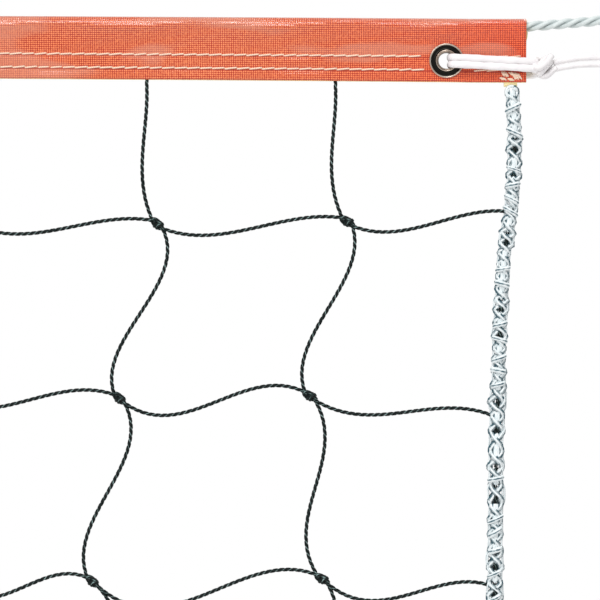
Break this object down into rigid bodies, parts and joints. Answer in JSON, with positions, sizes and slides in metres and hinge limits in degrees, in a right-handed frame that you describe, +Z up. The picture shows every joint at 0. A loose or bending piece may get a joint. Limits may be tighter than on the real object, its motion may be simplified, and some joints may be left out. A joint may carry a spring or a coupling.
{
  "type": "volleyball net",
  "caption": "Square-mesh court net with a folded vinyl head band over a rope, a grommet and tie cord at each top corner and laced side and bottom cords.",
  "frame": {"origin": "on the head rope's centreline at mid-span", "axes": "+X along the head rope to the net's right end as seen from the front, +Y to the back, +Z up; the front face looks along -Y"},
  "size_m": [9.725, 0.016, 1.0092],
  "materials": {
    "orange_vinyl": "woven fabric under a clear glossy coat",
    "cream_thread": "matt twisted sewing thread",
    "cream_tab": "matt woven tape",
    "white_rope": "twisted three-strand rope with a slight sheen",
    "white_tie": "smooth braided cord",
    "laced_white": "flat translucent fibre, laced",
    "black_twine": "twisted green-black twine with light flecks",
    "nickel": "polished nickel"
  },
  "bodies": {
    "rope": {"head_rope": "white_rope", "rope_knot_right": "white_rope", "rope_loop_right": "white_rope", "rope_knot_left": "white_rope", "rope_loop_left": "white_rope"},
    "band": {"header_band": "orange_vinyl", "upper_stitching": "cream_thread", "lower_stitching": "cream_thread", "bartack_right": "cream_thread", "bartack_left": "cream_thread", "grommet_eyelet_right": "nickel", "grommet_washer_right": "nickel", "grommet_eyelet_left": "nickel", "grommet_washer_left": "nickel", "top_selvage_twine": "black_twine", "corner_tab_right": "cream_tab", "corner_tab_left": "cream_tab", "tie_lashing_right": "white_tie", "tie_knot_right": "white_tie", "tie_lashing_left": "white_tie", "tie_knot_left": "white_tie"},
    "netting": {"vertical_twines": "black_twine", "horizontal_twines": "black_twine", "netting_knots": "black_twine", "side_cord_right": "laced_white", "side_twine_right": "black_twine", "side_cord_left": "laced_white", "side_twine_left": "black_twine", "bottom_cord": "laced_white", "bottom_twine": "black_twine"},
    "tie_right": {"tie_tails_right": "white_tie", "tie_end_knot_right": "white_tie"},
    "tie_left": {"tie_tails_left": "white_tie", "tie_end_knot_left": "white_tie"}
  },
  "joints": [
    {"name": "band_swing", "type": "hinge", "parent": "rope", "child": "band", "pos_m": [0, 0, 0], "axis": [1, 0, 0], "range_deg": [-90, 90]},
    {"name": "netting_swing", "type": "hinge", "parent": "band", "child": "netting", "pos_m": [0, 0, -0.0302], "axis": [1, 0, 0], "range_deg": [-60, 60]},
    {"name": "tie_right_swing", "type": "hinge", "parent": "band", "child": "tie_right", "pos_m": [4.758, 0, -0.0207], "axis": [0, -1, 0], "range_deg": [-90, 8]},
    {"name": "tie_left_swing", "type": "hinge", "parent": "band", "child": "tie_left", "pos_m": [-4.758, 0, -0.0207], "axis": [0, 1, 0], "range_deg": [-90, 8]}
  ]
}
